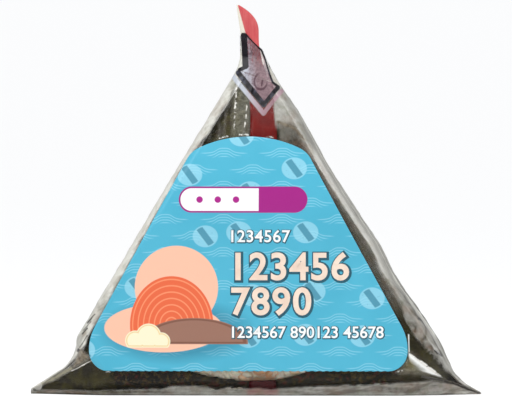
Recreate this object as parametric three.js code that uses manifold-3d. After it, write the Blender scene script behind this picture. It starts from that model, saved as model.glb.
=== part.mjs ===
// A triangular rice ball in its sealed film wrapper, standing on its base with the label at the front.
// Millimetres, +Z up, front facing -Y, origin at the middle of the base.
// The pack is built from level slices that are alike at the front and the back.
import * as THREE from "three";
import { mergeVertices } from "three/addons/utils/BufferGeometryUtils.js";
import Module from "manifold-3d";

// Outline of the pack, seen from the front
const BODY_HALF_BASE = 48.5; // where a sloped side would meet the base
const SIDE_SLOPE = 0.593; // how far a side comes in for each millimetre of height
const NECK_LEFT = 3.6; // the film strip at the top stands left of the middle
const NECK_RIGHT = 1;
const NECK_BLEND = 1.2;
const NECK_CUT = 79.3; // above this height the strip is cut off aslant
const NECK_TOP = 83.2;
const NECK_TOP_WIDTH = 1.3;
// Bends of the two slopes: middle height, how far up and down they run, how far out they stand
const LEFT_BENDS = [[8.6, 5.4, -1.5]];
const RIGHT_BENDS = [
  [13, 8, 0.45],
  [27, 8, -0.7],
  [51, 20, -1],
  [72, 9, -0.7],
];

// The ears: film corners drawn out flat at both ends of the base
const LEFT_EAR = { reach: 4.6, tipHeight: 0.8, rootHeight: 6.5, curve: 1.6 };
const RIGHT_EAR = { reach: 3.9, tipHeight: 0.3, rootHeight: 6, curve: 2.5 };
const EAR_END = 52;
const EAR_END_BLEND = 0.5;
const EAR_TIP_HEIGHT = 0.5;
const EAR_ROOT = 16; // length over which the base narrows to an ear, seen from above
const EAR_TIP_DEPTH = 0.5;
const EAR_BLEND_TOP = 12;

// Depth of the pack
const HALF_DEPTH = 14.2;
const FACE_SWELL = 0.8;
const BASE_ROUNDING = 4;
const EDGE_ROUNDING_X = 2.8;
const EDGE_ROUNDING_Y = 4.8;
const EDGE_ROUNDING_LIMIT = 0.8; // the most of a thin slice's half-depth that its edge rounding takes
const TAPER_START = 36;
const TAPER_TOP = 78;
const TAPER_CURVE = 2.2;
const TOP_HALF_DEPTH = 0.6;

// The front label
const LABEL_X = -1;
const LABEL_BOTTOM = 5.55;
const LABEL_TOP = 59.45;
const LABEL_HALF = 36.65;
const LABEL_CORNER = 4.6;
const LABEL_SIDE_HALF = 15.1; // half-width of the slanted sides at LABEL_SIDE_Z
const LABEL_SIDE_Z = 52.8;
const LABEL_SIDE_SLOPE = 0.546;
const LABEL_CROWN_RADIUS = 27;
const LABEL_BLEND = 1.5;
const LABEL_TOP_HALF = 1;
const LABEL_THICKNESS = 0.4;

// The tear tape and its pull tab
const TAPE_X = 2.3;
const TAPE_HALF = 3.1;
const TAPE_THICKNESS = 0.4;
const TAPE_BEND_Z = 63; // above this height the tape leans to the left, towards the tab
const TAPE_BEND_TOP = 82;
const TAPE_LIFT = 0.9; // how far the tape comes out of its channel at the neck
const TAPE_LIFT_Z = 66;
const TAPE_LIFT_TOP = 76;
const TAPE_LEVEL_Z = 79.5; // above this height the tape comes level with the foot of the tab
const TAPE_BACK_TOP = 72;
const TAB_X = -1.4;
const TAB_HALF = 2.1;
const TAB_TOP = 89.6;
const TAB_TIP_X = -4.1;
const TAB_TIP_HALF = 0.3;
const TAB_FORWARD = 0.8;
const TAB_TIP_START = 83.2;
const TAB_TIP_CURVE = 2.5;
const GAP = 0.3; // clearance between pieces
const CHANNEL_OVERCUT = 1;

// Mesh density
const FACE_STEPS = 16;
const CORNER_STEPS = 5;
const SIDE_STEPS = 3;
const BASE_ROWS = 6;
const EAR_ROWS = 8;
const BODY_ROWS = 6;
const TAPER_ROWS = 20;
const NECK_ROWS = 4;
const LABEL_ROWS = 24;
const TAB_ROWS = 8;
const TAPE_NECK_ROWS = 14;
const TAPE_UPPER_ROWS = 8;
const TAPE_LOWER_ROWS = 2;
const MERGE_DISTANCE = 1e-4; // points closer than this are one point

const FILM_COLOUR = 0x3a3a2c;
const LABEL_COLOUR = 0x5cc2de;
const TAPE_COLOUR = 0xa8362f;

const clamp01 = (t) => Math.min(1, Math.max(0, t));
const mix = (a, b, t) => a + (b - a) * t;
// How far t has come from a to b, as a share from 0 to 1
const share = (a, b, t) => clamp01((t - a) / (b - a));
const smoothShare = (a, b, t) => {
  const u = share(a, b, t);
  return u * u * (3 - 2 * u);
};
const softMin = (a, b, r) => {
  const h = clamp01(0.5 + (b - a) / (2 * r));
  return mix(b, a, h) - r * h * (1 - h);
};
const softMax = (a, b, r) => -softMin(-a, -b, r);

// Distance from the middle to a sloped side at a height, with its bends and the ear at its foot
function sideReach(z, ear, bends) {
  let reach = BODY_HALF_BASE - SIDE_SLOPE * z;
  reach += ear.reach * (1 - share(ear.tipHeight, ear.rootHeight, z)) ** ear.curve;
  for (const [middle, spread, out] of bends) {
    const off = (z - middle) / spread;
    reach += out * Math.max(0, 1 - off ** 2) ** 2;
  }
  return softMin(reach, EAR_END, EAR_END_BLEND);
}

const leftEdge = (z) => -softMax(sideReach(z, LEFT_EAR, LEFT_BENDS), NECK_LEFT, NECK_BLEND);

function rightEdge(z) {
  const uncut = softMax(sideReach(z, RIGHT_EAR, RIGHT_BENDS), NECK_RIGHT, NECK_BLEND);
  return mix(uncut, leftEdge(z) + NECK_TOP_WIDTH, share(NECK_CUT, NECK_TOP, z));
}

// Half-depth of a slice between its rounded edges
function middleDepth(z) {
  const upper = mix(HALF_DEPTH, TOP_HALF_DEPTH, share(TAPER_START, TAPER_TOP, z) ** TAPER_CURVE);
  const under = Math.max(0, BASE_ROUNDING - z);
  return upper - BASE_ROUNDING + Math.sqrt(BASE_ROUNDING ** 2 - under ** 2);
}

// A slice's middle and half-width, and the half-depths and the rounding that shape its two ends
function slice(z) {
  const half = (rightEdge(z) - leftEdge(z)) / 2;
  const square = smoothShare(EAR_TIP_HEIGHT, EAR_BLEND_TOP, z);
  const middle = middleDepth(z);
  const rounding = Math.min(mix(EAR_ROOT, EDGE_ROUNDING_X, square), half);
  const squareSide = middle - Math.min(EDGE_ROUNDING_Y, middle * EDGE_ROUNDING_LIMIT);
  const side = mix(EAR_TIP_DEPTH, squareSide, square);
  return { x: (rightEdge(z) + leftEdge(z)) / 2, half, square, middle, rounding, side };
}

// Half-depth of a slice at a distance from its middle
function depthAt(s, distance) {
  const u = share(s.half - s.rounding, s.half, distance);
  const fall = mix(1 - u, Math.sqrt(1 - u * u), s.square);
  const swell = FACE_SWELL * (s.middle / HALF_DEPTH) * (1 - (distance / s.half) ** 2);
  return s.side + (s.middle + swell - s.side) * fall;
}

function surfaceDepth(x, z) {
  const s = slice(z);
  return depthAt(s, Math.min(Math.abs(x - s.x), s.half));
}

// Places across a slice from its left end to its right end, measured from its middle
function slicePoints(s) {
  const flat = s.half - s.rounding;
  const distances = [];
  for (let i = CORNER_STEPS; i > 0; i--) {
    const turn = (Math.PI / 2) * (i / CORNER_STEPS);
    distances.push(-flat - s.rounding * Math.sin(turn));
  }
  for (let i = 0; i <= FACE_STEPS; i++) distances.push(flat * ((2 * i) / FACE_STEPS - 1));
  for (let i = 1; i <= CORNER_STEPS; i++) {
    const turn = (Math.PI / 2) * (i / CORNER_STEPS);
    distances.push(flat + s.rounding * Math.sin(turn));
  }
  return distances;
}

// One slice of the pack, anticlockwise from above: front, right side, back, left side
function packRing(z, grow) {
  const s = slice(z);
  const front = slicePoints(s).map((d) => [s.x + d, -depthAt(s, Math.abs(d)) - grow, z]);
  const back = front.map(([x, y]) => [x, -y, z]).reverse();
  const across = ([x, y]) => {
    const points = [];
    for (let i = 1; i < SIDE_STEPS; i++) points.push([x, mix(y, -y, i / SIDE_STEPS), z]);
    return points;
  };
  return [...front, ...across(front[front.length - 1]), ...back, ...across(back[back.length - 1])];
}

// A closed mesh from level rings of equal length, from the lowest to the highest
function stackedRings(rings) {
  const n = rings[0].length;
  const index = [];
  for (let r = 0; r + 1 < rings.length; r++)
    for (let i = 0; i < n; i++) {
      const a = r * n + i;
      const b = r * n + ((i + 1) % n);
      index.push(a, b, b + n, a, b + n, a + n);
    }
  const top = (rings.length - 1) * n;
  for (let i = 0; i < n / 2 - 1; i++) {
    const near = i;
    const far = n - 1 - i;
    index.push(near, far, far - 1, near, far - 1, near + 1);
    index.push(top + near, top + far - 1, top + far, top + near, top + near + 1, top + far - 1);
  }
  const geometry = new THREE.BufferGeometry();
  geometry.setAttribute("position", new THREE.Float32BufferAttribute(rings.flat(2), 3));
  geometry.setIndex(index);
  return geometry;
}

function steps(from, to, count) {
  return Array.from({ length: count }, (_, i) => mix(from, to, i / count));
}

function packGeometry(grow) {
  const heights = [
    ...steps(0, BASE_ROUNDING, BASE_ROWS),
    ...steps(BASE_ROUNDING, EAR_BLEND_TOP, EAR_ROWS),
    ...steps(EAR_BLEND_TOP, TAPER_START, BODY_ROWS),
    ...steps(TAPER_START, TAPER_TOP, TAPER_ROWS),
    ...steps(TAPER_TOP, NECK_TOP, NECK_ROWS),
    NECK_TOP,
  ];
  return stackedRings(heights.map((z) => packRing(z, grow)));
}

// Half-width of the label at a height
function labelHalfWidth(z) {
  const side = LABEL_SIDE_HALF + LABEL_SIDE_SLOPE * (LABEL_SIDE_Z - z);
  const over = Math.max(0, z - LABEL_TOP + LABEL_CROWN_RADIUS);
  const crown = Math.sqrt(LABEL_CROWN_RADIUS ** 2 - over ** 2) + (over === 0 ? LABEL_HALF : 0);
  const under = Math.max(0, LABEL_BOTTOM + LABEL_CORNER - z);
  const corner = LABEL_HALF - LABEL_CORNER + Math.sqrt(LABEL_CORNER ** 2 - under ** 2);
  return softMin(softMin(side, corner, LABEL_BLEND), crown, LABEL_BLEND);
}

// The label's outline drawn out backwards, to cut the label from the pack's own surface
function labelPrism() {
  const right = [];
  for (let r = 0; r <= LABEL_ROWS; r++) {
    const t = (1 - Math.cos((Math.PI * r) / LABEL_ROWS)) / 2;
    const z = mix(LABEL_BOTTOM, LABEL_TOP, t);
    right.push(new THREE.Vector2(Math.max(labelHalfWidth(z), LABEL_TOP_HALF), z));
  }
  const left = right.map((p) => new THREE.Vector2(-p.x, p.y)).reverse();
  const outline = new THREE.Shape([...right, ...left]);
  const geometry = new THREE.ExtrudeGeometry(outline, { depth: 2 * HALF_DEPTH, bevelEnabled: false });
  return geometry.rotateX(Math.PI / 2).translate(LABEL_X, 0, 0);
}

// A place on the tape: the middle of its outer face, and half its width along X
const place = (x, y, z, half) => ({ at: new THREE.Vector3(x, y, z), half });

// The tape from the tip of the pull tab, down the front, under the base and up the back
function tapeRoute() {
  const proud = (z) => TAPE_LIFT * smoothShare(TAPE_LIFT_Z, TAPE_LIFT_TOP, z);
  const onFront = (z) => {
    const lean = smoothShare(TAPE_BEND_Z, TAPE_BEND_TOP, z);
    const x = mix(TAPE_X, TAB_X, lean);
    const level = smoothShare(TAPE_LEVEL_Z, TAB_TIP_START, z);
    const y = -mix(surfaceDepth(x, z), TOP_HALF_DEPTH, level) - proud(z);
    return place(x, y, z, mix(TAPE_HALF, TAB_HALF, lean));
  };
  const onTab = (z) => {
    const tip = share(TAB_TIP_START, TAB_TOP, z);
    const right = mix(TAB_X + TAB_HALF, TAB_TIP_X + TAB_TIP_HALF, tip ** TAB_TIP_CURVE);
    const left = mix(TAB_X - TAB_HALF, TAB_TIP_X - TAB_TIP_HALF, tip);
    const y = -TOP_HALF_DEPTH - proud(z) - TAB_FORWARD * tip;
    return place((left + right) / 2, y, z, (right - left) / 2);
  };
  const tab = steps(TAB_TOP, TAB_TIP_START, TAB_ROWS).map(onTab);
  const down = [
    ...steps(TAB_TIP_START, TAPE_BEND_Z, TAPE_NECK_ROWS),
    ...steps(TAPE_BEND_Z, TAPER_START, TAPE_UPPER_ROWS),
    ...steps(TAPER_START, BASE_ROUNDING, TAPE_LOWER_ROWS),
    ...steps(BASE_ROUNDING, 0, BASE_ROWS),
    0,
  ].map(onFront);
  const up = down
    .filter((p) => p.at.z <= TAPE_BACK_TOP)
    .map((p) => place(p.at.x, -p.at.y, p.at.z, p.half))
    .reverse();
  return [...tab, ...down, ...up];
}

// A ribbon along a route, given its extra width at each side and its faces' places along the outward normal
function ribbonGeometry(route, side, inner, outer) {
  const rings = route.map(({ at, half }, i) => {
    const ahead = route[Math.min(i + 1, route.length - 1)].at;
    const behind = route[Math.max(i - 1, 0)].at;
    const normal = new THREE.Vector3(0, ahead.z - behind.z, behind.y - ahead.y).normalize();
    const corner = (dx, offset) => {
      const moved = at.clone().addScaledVector(normal, offset);
      return [moved.x + dx, moved.y, moved.z];
    };
    const w = half + side;
    return [corner(-w, inner), corner(w, inner), corner(w, outer), corner(-w, outer)];
  });
  return stackedRings(rings);
}

const wasm = await Module();
wasm.setup();

function toSolid(geometry) {
  const bare = new THREE.BufferGeometry();
  bare.setAttribute("position", geometry.attributes.position);
  bare.setIndex(geometry.index);
  const merged = mergeVertices(bare, MERGE_DISTANCE);
  const mesh = new wasm.Mesh({
    numProp: 3,
    vertProperties: merged.attributes.position.array,
    triVerts: new Uint32Array(merged.index.array),
  });
  return new wasm.Manifold(mesh);
}

function toGeometry(solid) {
  const made = solid.getMesh();
  const geometry = new THREE.BufferGeometry();
  geometry.setAttribute("position", new THREE.BufferAttribute(made.vertProperties, 3));
  geometry.setIndex(new THREE.BufferAttribute(made.triVerts, 1));
  return geometry;
}

function part(name, geometry, color) {
  geometry.computeVertexNormals();
  const mesh = new THREE.Mesh(geometry, new THREE.MeshStandardMaterial({ color }));
  mesh.name = name;
  return mesh;
}

const route = tapeRoute();
const channel = ribbonGeometry(route, GAP, -TAPE_THICKNESS - GAP, CHANNEL_OVERCUT);
const wrapper = toSolid(packGeometry(0)).subtract(toSolid(channel));
const labelFront = toSolid(packGeometry(GAP + LABEL_THICKNESS)).intersect(toSolid(labelPrism()));
const label = labelFront.subtract(toSolid(packGeometry(GAP)));

const onigiri = new THREE.Group();
onigiri.add(part("wrapper", toGeometry(wrapper), FILM_COLOUR));
onigiri.add(part("label", toGeometry(label), LABEL_COLOUR));
onigiri.add(part("tear_tape", ribbonGeometry(route, 0, -TAPE_THICKNESS, 0), TAPE_COLOUR));

export default onigiri;
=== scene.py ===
import itertools
import math
from functools import reduce

import bpy
import numpy as np
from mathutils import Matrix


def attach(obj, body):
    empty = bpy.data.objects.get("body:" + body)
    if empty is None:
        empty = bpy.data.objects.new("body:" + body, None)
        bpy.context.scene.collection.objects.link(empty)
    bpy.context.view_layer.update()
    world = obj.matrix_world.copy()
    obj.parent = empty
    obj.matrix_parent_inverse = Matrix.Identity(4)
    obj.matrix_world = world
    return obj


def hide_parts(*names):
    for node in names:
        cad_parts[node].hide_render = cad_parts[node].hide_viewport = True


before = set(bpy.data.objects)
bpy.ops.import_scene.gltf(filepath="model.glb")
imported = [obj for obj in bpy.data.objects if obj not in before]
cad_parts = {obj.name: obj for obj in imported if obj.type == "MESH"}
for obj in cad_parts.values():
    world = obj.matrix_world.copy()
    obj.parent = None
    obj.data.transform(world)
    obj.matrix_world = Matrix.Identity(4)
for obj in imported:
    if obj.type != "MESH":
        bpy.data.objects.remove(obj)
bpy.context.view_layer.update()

MM = 0.001

# Outline and depth of the pack, as in the solids
HALF_BASE = 48.5
SIDE_SLOPE = 0.593
NECK_LEFT = 3.6
NECK_RIGHT = 1
NECK_BLEND = 1.2
NECK_CUT = 79.3
NECK_TOP = 83.2
NECK_TOP_WIDTH = 1.3
# Bends of the two slopes: middle height, how far up and down they run, how far out they stand
LEFT_BENDS = ((8.6, 5.4, -1.5),)
RIGHT_BENDS = ((13, 8, 0.45), (27, 8, -0.7), (51, 20, -1), (72, 9, -0.7))
# The ears: reach, height of the tip, height of the root, curve
LEFT_EAR = (4.6, 0.8, 6.5, 1.6)
RIGHT_EAR = (3.9, 0.3, 6, 2.5)
EAR_END = 52
EAR_END_BLEND = 0.5
EAR_TIP_HEIGHT = 0.5
EAR_ROOT = 16
EAR_TIP_DEPTH = 0.5
EAR_BLEND_TOP = 12
HALF_DEPTH = 14.2
FACE_SWELL = 0.8
BASE_ROUNDING = 4
EDGE_ROUNDING_X = 2.8
EDGE_ROUNDING_Y = 4.8
EDGE_ROUNDING_LIMIT = 0.8
TAPER_START = 36
TAPER_TOP = 78
TAPER_BLEND = 1
TAPER_BLEND_START = 70
TAPER_CURVE = 2.2
TOP_HALF_DEPTH = 0.6

# The label
LABEL_X = -1
LABEL_BOTTOM = 5.55
LABEL_TOP = 59.45
LABEL_HALF = 36.65
LABEL_CORNER = 4.6
LABEL_SIDE_HALF = 15.1
LABEL_SIDE_Z = 52.8
LABEL_SIDE_SLOPE = 0.546
LABEL_CROWN_RADIUS = 27
LABEL_BLEND = 1.5
LABEL_GAP = 0.3
LABEL_THICKNESS = 0.35
LABEL_TOOTH = 0.22
LABEL_TOOTH_PITCH = 1.66
WAVE_ROW = 3.8
WAVE_LENGTH = 13.4

# The tear tape and its pull tab
TAPE_X = 2.3
TAPE_HALF = 3.1
TAPE_THICKNESS = 0.4
TAPE_BEND_Z = 63
TAPE_BEND_TOP = 82
TAPE_LIFT = 0.9
TAPE_LIFT_Z = 66
TAPE_LIFT_TOP = 76
TAPE_LEVEL_Z = 79.5
TAPE_BACK_TOP = 72
TAB_X = -1.4
TAB_HALF = 2.1
TAB_TOP = 89.6
TAB_TIP_X = -4.1
TAB_TIP_HALF = 0.3
TAB_FORWARD = 0.8
TAB_TIP_START = 83.2
TAB_TIP_CURVE = 2.5

# The contents: heights of the nori's and the rice's floor and top
NORI_FLOOR = 0.6
NORI_TOP = 73
RICE_FLOOR = 1.6
RICE_TOP = 68
GRAIN_COUNT = 520
GRAIN_SIZE = (2.5, 1.15, 1)
# The gap in the nori behind the label's foot: middle x and z, half-width and half-height
WINDOW = (-0.6, 12.3, 20.4, 9)

# Where the film is milky, partly a painted reflection along its turned edges, measured inward from the pack's
# outline: height, width of the band
LEFT_BAND = (
    (0, 0.4), (6, 0.6), (8.5, 0.8), (10.5, 1.7), (12, 2.6), (20, 2.8), (33, 1.9),
    (45, 1.4), (54, 1.1), (60, 2.4), (68, 2.3), (73, 1.6),
)
RIGHT_BAND = (
    (0, 0.4), (3, 0.6), (5, 0.8), (6.5, 0.95), (9.3, 1.75), (11.5, 2.8), (13.9, 3.7),
    (17.3, 3.3), (20.7, 2.1), (25, 1.5), (40, 1.3), (52, 1.3), (58, 2), (74, 2.2),
)
# The loose film along the foot: place across, height of its upper edge
FOOT_STRIP = (
    (-52, 0.8), (-47, 0.9), (-35, 1), (-21, 1.5), (-17, 2.2), (-12, 2.1),
    (-8, 1.4), (-5, 1.7), (0, 1.6), (5, 1.4), (10, 1.9), (20, 2.2), (33, 2.8),
    (40, 3.3), (44, 2.9), (48.6, 1.4), (52, 0.3),
)
# How much of the way from the rounded lower edge to an upright face that film hangs out
FOOT_HANG = 0.7
# The furthest that the film may reach to a side, to the front and to the back
FILM_LIMITS = (EAR_END - 0.02, -15.65, 14.95)
# Sharp folds of the front, painted as highlights: ends (x, z), half-width
HIGHLIGHT_FOLDS = (
    ((36.4, 9.5), (42.9, 4.3), 0.16),
    ((38.6, 7.8), (42.3, 4.8), 0.3),
    ((-37.1, 7.9), (-42, 5.5), 0.1),
    ((1.15, 79.2), (1.85, 76), 0.16),
)
# The glint along the label's right edge
EDGE_GLINT = ((35.85, 14), (35.95, 10.2), 0.15)
# Short glints, broken up by the film's crumples
GLINTS = (
    ((-4.2, 70.6), (-4.4, 66), 0.2),
    ((-4.4, 66), (-4.5, 61.2), 0.12),
    ((-1.75, 66.5), (-1.9, 62.8), 0.14),
    ((-2, 62.6), (-2.1, 60.2), 0.16),
    ((-8, 59), (-6, 59.4), 0.18),
    ((-3.2, 59.9), (-1.2, 59.8), 0.24),
    ((3.2, 59.3), (4.4, 59.2), 0.12),
    ((33.5, 5.5), (34.4, 5.7), 0.17),
    ((-33.6, 5.4), (-32.6, 5.3), 0.14),
)
# Dark folds: partly the nori showing through, partly painted shade in the film's creases: ends (x, z),
# half-width
DARK_FOLDS = (
    ((39, 4.3), (43.9, 3), 0.2),
    ((43.9, 3), (46.4, 2.3), 0.24),
    ((46.4, 2.3), (48.8, 1.3), 0.26),
    ((48.8, 1.3), (51.6, 0.25), 0.22),
    ((38.1, 17.6), (40.2, 16.2), 0.16),
    ((41.9, 10.3), (43.1, 9.2), 0.22),
    ((-40.3, 10.1), (-40.1, 10.4), 0.36),
    ((-39.8, 11), (-38.1, 13.6), 0.1),
    ((-39.2, 14.1), (-38.2, 15.4), 0.16),
    ((-38.2, 16.6), (-36.4, 18.6), 0.14),
    ((-38.9, 15), (-37.4, 17), 0.1),
)
# Brown folds: right of the tape, and a patch between the left slope and its ridge
BROWN_FOLDS = (((5.7, 62.8), (9.6, 61.2), 0.3), ((9.6, 61.2), (11.8, 58.6), 0.22))
BROWN_CORNER = ((-39.9, 11), (-42, 5.7), (-37.4, 8.6))
# The pale upper edge of the left ear
EAR_EDGE = (((-51.2, 1.5), (-47, 3.3), 0.3), ((-47, 3.3), (-42.2, 6), 0.45))
# Between the label and the right ear: a brown patch under a thin facet, painted with a highlight
CORNER_PATCH = ((36.2, 9.9), (33.2, 5.6), (41, 4.8))
FACET = ((35.7, 10.2), (36, 6.4), (43.2, 4))
# The film's flap, folded over each side: half-width at its foot, height of the foot and of its point
FLAP_HALF = 11.5
FLAP_FOOT = 5
FLAP_TOP = 27
# Height where the seam on each side ends
SEAM_TOP = 66


def mix(a, b, t):
    return a + (b - a) * t


def share(a, b, t):
    return np.clip((t - a) / (b - a), 0, 1)


def smooth(a, b, t):
    u = share(a, b, t)
    return u * u * (3 - 2 * u)


def soft_min(a, b, r):
    h = np.clip(0.5 + (b - a) / (2 * r), 0, 1)
    return mix(b, a, h) - r * h * (1 - h)


def soft_max(a, b, r):
    return -soft_min(-a, -b, r)


class Form:
    """The pack's shape as level slices, or the same shape drawn in for what lies inside it."""

    floor = side_in = depth_in = ear_more = end_in = lift = 0
    foot_share = 1
    neck = None

    def __init__(self, **changes):
        vars(self).update(changes)

    def reach(self, z, ear, bends):
        """Distance from the middle to a sloped side, with its bends and the ear at its foot."""
        length, tip, root, curve = ear
        reach = HALF_BASE - SIDE_SLOPE * z - self.side_in * mix(self.foot_share, 1, smooth(3, 13, z))
        reach = reach + max(0, length + self.ear_more) * (1 - share(tip, root, z)) ** curve
        for middle, spread, out in bends:
            reach = reach + out * np.maximum(0, 1 - ((z - middle) / spread) ** 2) ** 2
        return soft_min(reach, EAR_END - self.end_in, EAR_END_BLEND)

    def edges(self, z):
        left = self.reach(z, LEFT_EAR, LEFT_BENDS)
        right = self.reach(z, RIGHT_EAR, RIGHT_BENDS)
        if self.neck is not None:
            return -soft_max(left, self.neck, NECK_BLEND), soft_max(right, self.neck, NECK_BLEND)
        left = -soft_max(left, NECK_LEFT, NECK_BLEND)
        right = soft_max(right, NECK_RIGHT, NECK_BLEND)
        return left, mix(right, left + NECK_TOP_WIDTH, share(NECK_CUT, NECK_TOP, z))

    def slice(self, z):
        left, right = self.edges(z)
        half = (right - left) / 2
        square = smooth(EAR_TIP_HEIGHT, EAR_BLEND_TOP, z)
        upper = mix(HALF_DEPTH, TOP_HALF_DEPTH, share(TAPER_START, TAPER_TOP, z) ** TAPER_CURVE)
        upper = soft_max(upper, TOP_HALF_DEPTH, TAPER_BLEND)
        upper = upper - TAPER_BLEND / 4 * share(TAPER_BLEND_START, TAPER_TOP, z)
        upper = upper - self.depth_in * np.minimum(1, upper / 4)
        under = np.clip(BASE_ROUNDING - (z - self.floor), 0, BASE_ROUNDING)
        middle = upper - BASE_ROUNDING + np.sqrt(BASE_ROUNDING**2 - under**2)
        rounding = np.minimum(mix(EAR_ROOT, EDGE_ROUNDING_X, square), half)
        square_side = middle - np.minimum(EDGE_ROUNDING_Y, middle * EDGE_ROUNDING_LIMIT)
        tip = EAR_TIP_DEPTH * (0.4 if self.depth_in else 1)
        side = mix(tip, square_side, square)
        return (left + right) / 2, half, square, middle, rounding, side

    def depth(self, x, z):
        """Half-depth of the form at a point of its front view."""
        centre, half, square, middle, rounding, side = self.slice(z)
        off = np.minimum(np.abs(x - centre), half)
        u = share(half - rounding, half, off)
        fall = mix(1 - u, np.sqrt(1 - u * u), square)
        swell = FACE_SWELL * (middle / HALF_DEPTH) * (1 - (off / half) ** 2)
        return side + (middle + swell - side) * fall

    def front(self, x, z):
        """How far the front stands forward, with the film's lift over the tape at the neck."""
        return self.depth(x, z) + self.lift * (0.12 + TAPE_LIFT * smooth(TAPE_LIFT_Z, TAPE_LIFT_TOP, z))


BODY = Form()
FILM = Form(lift=1)
NORI = Form(floor=NORI_FLOOR, side_in=2.4, depth_in=0.9, ear_more=0.4, end_in=0.35, neck=1.4, foot_share=0.3)
RICE = Form(floor=RICE_FLOOR, side_in=4, depth_in=1.7, ear_more=-EAR_END, neck=2)


def gradient_noise(points, seed):
    """Smooth noise from about -1 to 1, at points given in cells."""
    rng = np.random.default_rng(seed)
    table = rng.permutation(256)
    slopes = rng.normal(size=(256, 3))
    slopes /= np.linalg.norm(slopes, axis=1)[:, None]
    cell = np.floor(points).astype(np.int64)
    inside = points - cell
    ease = inside**3 * (inside * (inside * 6 - 15) + 10)
    total = np.zeros(len(points))
    for corner in itertools.product((0, 1), repeat=3):
        h = 0
        for axis, step in enumerate(corner):
            h = table[(h + cell[:, axis] + step) & 255]
        value = (slopes[h] * (inside - corner)).sum(axis=1)
        total += value * np.where(corner, ease, 1 - ease).prod(axis=1)
    return total * 1.6


def cloudy(points, size, seed, octaves=3):
    total = np.zeros(len(points))
    for i in range(octaves):
        total += gradient_noise(points * 2**i / size, seed + i) / 2**i
    return total


def creases(points, size, seed, sharpness=4):
    """Thin ridges, 0 between them and 1 along them."""
    return (1 - np.minimum(1, np.abs(gradient_noise(points / size, seed)) * 1.7)) ** sharpness


def pleats(t, sharpness=4):
    """Ridges at whole numbers of t."""
    return (2 * np.abs(t - np.floor(t) - 0.5)) ** sharpness


def spaced(stretches):
    """Heights from (from, to, step) stretches."""
    found = [np.linspace(a, b, max(1, round((b - a) / step)), endpoint=False) for a, b, step in stretches]
    return np.append(np.concatenate(found), stretches[-1][1])


def rings(form, heights, flat_steps, corner_steps, side_steps):
    """Points of the form, one ring a height: front, right side, back and left side."""
    z = heights[:, None]
    centre, half, _, _, rounding, _ = form.slice(z)
    turn = np.sin(np.linspace(0, math.pi / 2, corner_steps + 1)[1:])
    flat = half - rounding
    even = flat * np.linspace(-1, 1, flat_steps + 1)
    across = np.concatenate([-flat - rounding * turn[::-1], even, flat + rounding * turn], axis=1)
    x = centre + across
    zz = np.broadcast_to(z, x.shape)
    front = np.stack([x, -form.front(x, zz), zz], axis=2)
    back = np.stack([x, form.depth(x, zz), zz], axis=2)[:, ::-1]
    steps = np.linspace(0, 1, side_steps + 1)[1:-1][None, :, None]
    right = mix(front[:, -1:], back[:, :1], steps)
    left = mix(back[:, -1:], front[:, :1], steps)
    return np.concatenate([front, right, back, left], axis=1), x.shape[1]


def new_object(name, data):
    obj = bpy.data.objects.new(name, data)
    bpy.context.scene.collection.objects.link(obj)
    return obj


def make_object(name, points, faces, material, smooth_shaded=True):
    mesh = bpy.data.meshes.new(name)
    mesh.from_pydata((np.asarray(points) * MM).tolist(), [], faces)
    mesh.validate()
    mesh.polygons.foreach_set("use_smooth", [smooth_shaded] * len(mesh.polygons))
    mesh.materials.append(material)
    return new_object(name, mesh)


def grid_faces(ids):
    """Four-sided faces between the neighbours in a grid of point numbers."""
    corners = (ids[:-1, :-1], ids[:-1, 1:], ids[1:, 1:], ids[1:, :-1])
    return np.stack([corner.ravel() for corner in corners], axis=1).tolist()


def ring_ids(rows, columns):
    """Point numbers of stacked rings, with each ring's first point again at its end."""
    ids = np.arange(rows * columns).reshape(rows, columns)
    return np.concatenate([ids, ids[:, :1]], axis=1)


def closed_shell(name, form, heights, steps, material):
    """A closed mesh of the form's level slices, with both ends filled by a grid."""
    side_steps = steps[2]
    grid, front_count = rings(form, heights, *steps)
    rows, columns, _ = grid.shape
    points = list(grid.reshape(-1, 3))
    faces = grid_faces(ring_ids(rows, columns))
    for row, upside in ((0, False), (rows - 1, True)):
        first = row * columns
        ids = [[first + i for i in range(front_count)]]
        for k in range(1, side_steps):
            line = [first + columns - k]
            for i in range(1, front_count - 1):
                near = grid[row, i]
                far = grid[row, front_count + side_steps - 1 + front_count - 1 - i]
                points.append(mix(near, far, k / side_steps))
                line.append(len(points) - 1)
            line.append(first + front_count + k - 1)
            ids.append(line)
        back = first + front_count + side_steps - 1
        ids.append([back + front_count - 1 - i for i in range(front_count)])
        cap = grid_faces(np.array(ids).T)
        faces += [quad[::-1] for quad in cap] if upside else cap
    return make_object(name, points, faces, material)


def vertices(obj):
    """The mesh's points in millimetres and its outward directions."""
    count = len(obj.data.vertices)
    points = np.empty(count * 3)
    obj.data.vertices.foreach_get("co", points)
    normals = np.empty(count * 3)
    obj.data.vertex_normals.foreach_get("vector", normals)
    return points.reshape(-1, 3) / MM, normals.reshape(-1, 3)


def set_points(obj, points):
    obj.data.vertices.foreach_set("co", (points * MM).ravel())
    obj.data.update()


def set_values(obj, name, values):
    layer = obj.data.attributes.new(name, "FLOAT", "POINT")
    layer.data.foreach_set("value", np.asarray(values, dtype=np.float32))


def label_half(z):
    """Half-width of the label at a height."""
    side = LABEL_SIDE_HALF + LABEL_SIDE_SLOPE * (LABEL_SIDE_Z - z)
    over = np.clip(z - LABEL_TOP + LABEL_CROWN_RADIUS, 0, LABEL_CROWN_RADIUS)
    crown = np.sqrt(LABEL_CROWN_RADIUS**2 - over**2) + np.where(over <= 0, LABEL_HALF, 0)
    under = np.clip(LABEL_BOTTOM + LABEL_CORNER - z, 0, LABEL_CORNER)
    corner = LABEL_HALF - LABEL_CORNER + np.sqrt(LABEL_CORNER**2 - under**2)
    return soft_min(soft_min(side, corner, LABEL_BLEND), crown, LABEL_BLEND)


# Materials


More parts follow.
